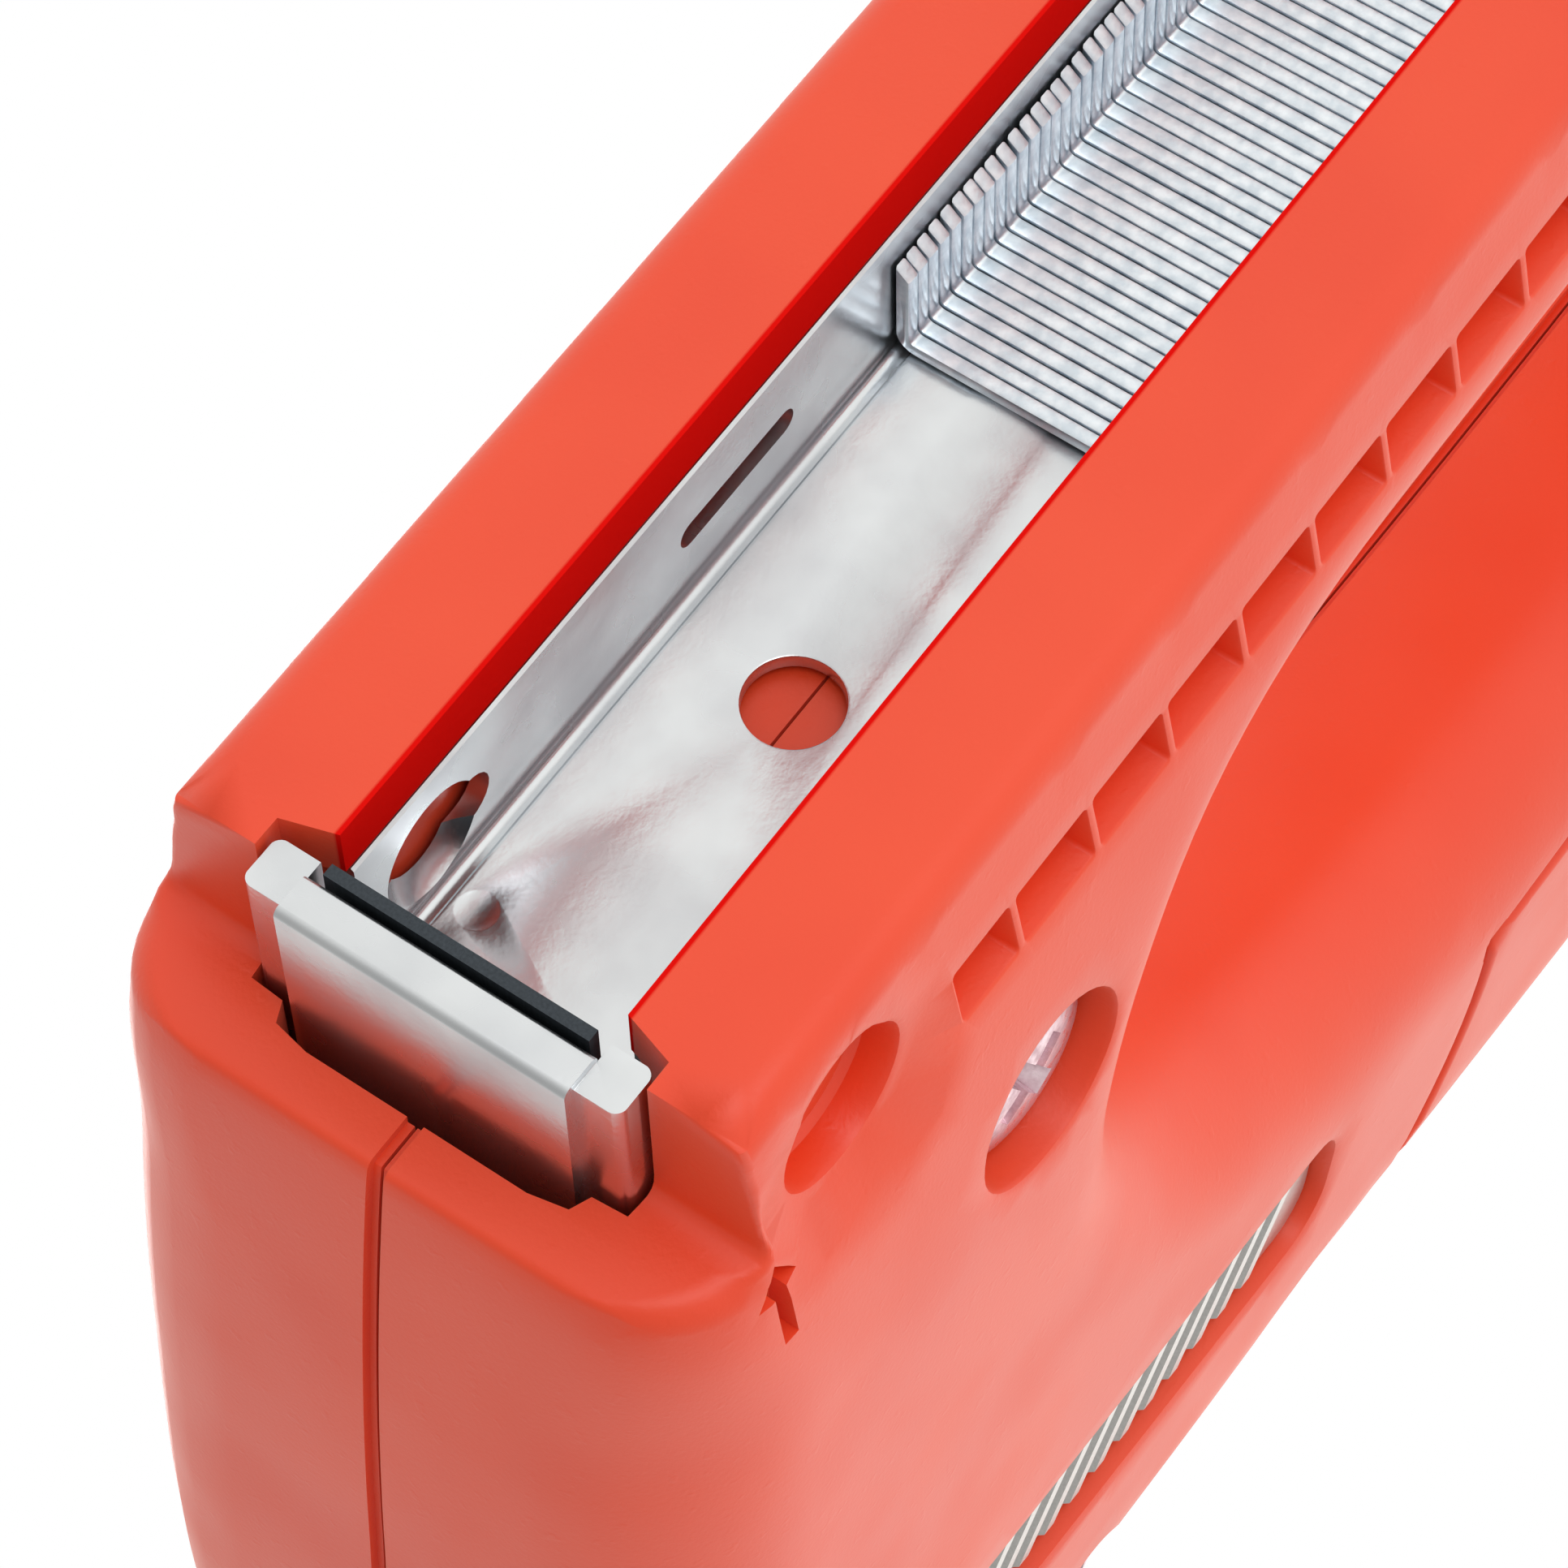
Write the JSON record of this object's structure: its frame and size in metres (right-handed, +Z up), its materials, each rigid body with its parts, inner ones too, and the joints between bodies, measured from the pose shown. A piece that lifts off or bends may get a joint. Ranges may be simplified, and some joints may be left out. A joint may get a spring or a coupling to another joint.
{
  "type": "hand staple gun",
  "caption": "Moulded hand staple gun with a squeeze handle, a steel staple channel under its base and a pull-out bottom-loading magazine with staples in it.",
  "frame": {"origin": "centre of the bounding box's footprint, on the plane that the base rails stand on, with the magazine pulled open", "axes": "+X out of the nose, +Y to the gun's left, +Z up from the base rails towards the handle"},
  "size_m": [0.2326, 0.0284, 0.0805],
  "materials": {
    "body": "spark-eroded orange-red ABS",
    "bright_steel": "bright rolled steel sheet",
    "plated_steel": "zinc plated",
    "hardened_steel": "ground and hardened",
    "spring_steel": "drawn spring wire",
    "staples": "galvanised wire, glued in a strip",
    "screws": "zinc plated",
    "badge": "silver lacquered with raised stripes",
    "latch": "black moulded",
    "bumper": "moulded"
  },
  "bodies": {
    "gun_body": {"body_half_right": "body", "body_half_left": "body", "magazine_channel": "bright_steel", "nose_plate": "bright_steel", "driver_guide": "bright_steel", "impact_bumper": "bumper", "spring_cap": "plated_steel", "power_spring": "spring_steel", "handle_pivot_pin": "plated_steel", "badge_right": "badge", "badge_left": "badge", "body_screw_front": "screws", "body_screw_top": "screws", "body_screw_rear_lower": "screws", "body_screw_rear_upper": "screws"},
    "driver": {"driver_blade": "hardened_steel", "driver_carrier": "plated_steel"},
    "handle": {"handle_core": "plated_steel", "handle_cover": "body", "handle_spring": "spring_steel", "lift_pin": "hardened_steel", "handle_pin_front": "plated_steel", "handle_pin_rear": "plated_steel"},
    "lock_wire": {"lock_wire": "spring_steel"},
    "staple_strip": {"staple_strip": "staples"},
    "magazine_tray": {"tray_rail": "bright_steel", "guide_rod": "plated_steel", "tray_end_cap": "body", "tray_rivet": "plated_steel", "latch_spring_right": "spring_steel", "latch_spring_left": "spring_steel", "pusher_spring": "spring_steel"},
    "latch_button_right": {"latch_button_right": "latch"},
    "latch_button_left": {"latch_button_left": "latch"},
    "pusher": {"pusher": "plated_steel"}
  },
  "joints": [
    {"name": "handle_hinge", "type": "hinge", "parent": "gun_body", "child": "handle", "pos_m": [0.07269, 0, 0.059], "axis": [0, 1, 0], "range_deg": [0, 27]},
    {"name": "driver_slide", "type": "slide", "parent": "gun_body", "child": "driver", "axis": [0, 0, 1], "range_m": [0, 0.0107], "stiffness_N_per_m": 1500, "springref_m": -0.012, "deforming": ["power_spring"]},
    {"name": "lock_wire_hinge", "type": "hinge", "parent": "gun_body", "child": "lock_wire", "pos_m": [-0.01331, 0, 0.056], "axis": [0, 1, 0], "range_deg": [0, 135]},
    {"name": "magazine_slide", "type": "slide", "parent": "gun_body", "child": "magazine_tray", "axis": [1, 0, 0], "range_m": [0, 0.084]},
    {"name": "pusher_slide", "type": "slide", "parent": "magazine_tray", "child": "pusher", "axis": [-1, 0, 0], "range_m": [0, 0.052], "deforming": ["pusher_spring"]},
    {"name": "staple_feed", "type": "slide", "parent": "gun_body", "child": "staple_strip", "axis": [1, 0, 0], "range_m": [0, 0.0315]},
    {"name": "latch_right_squeeze", "type": "slide", "parent": "magazine_tray", "child": "latch_button_right", "axis": [0, 1, 0], "range_m": [0, 0.0015], "stiffness_N_per_m": 400, "springref_m": -0.001, "deforming": ["latch_spring_right"]},
    {"name": "latch_left_squeeze", "type": "slide", "parent": "magazine_tray", "child": "latch_button_left", "axis": [0, -1, 0], "range_m": [0, 0.0015], "stiffness_N_per_m": 400, "springref_m": -0.001, "deforming": ["latch_spring_left"]}
  ],
  "couplings": [
    {"joint": "pusher_slide", "follows": "magazine_slide", "ratio": 0.615},
    {"joint": "staple_feed", "follows": "magazine_slide", "ratio": 0.371}
  ]
}
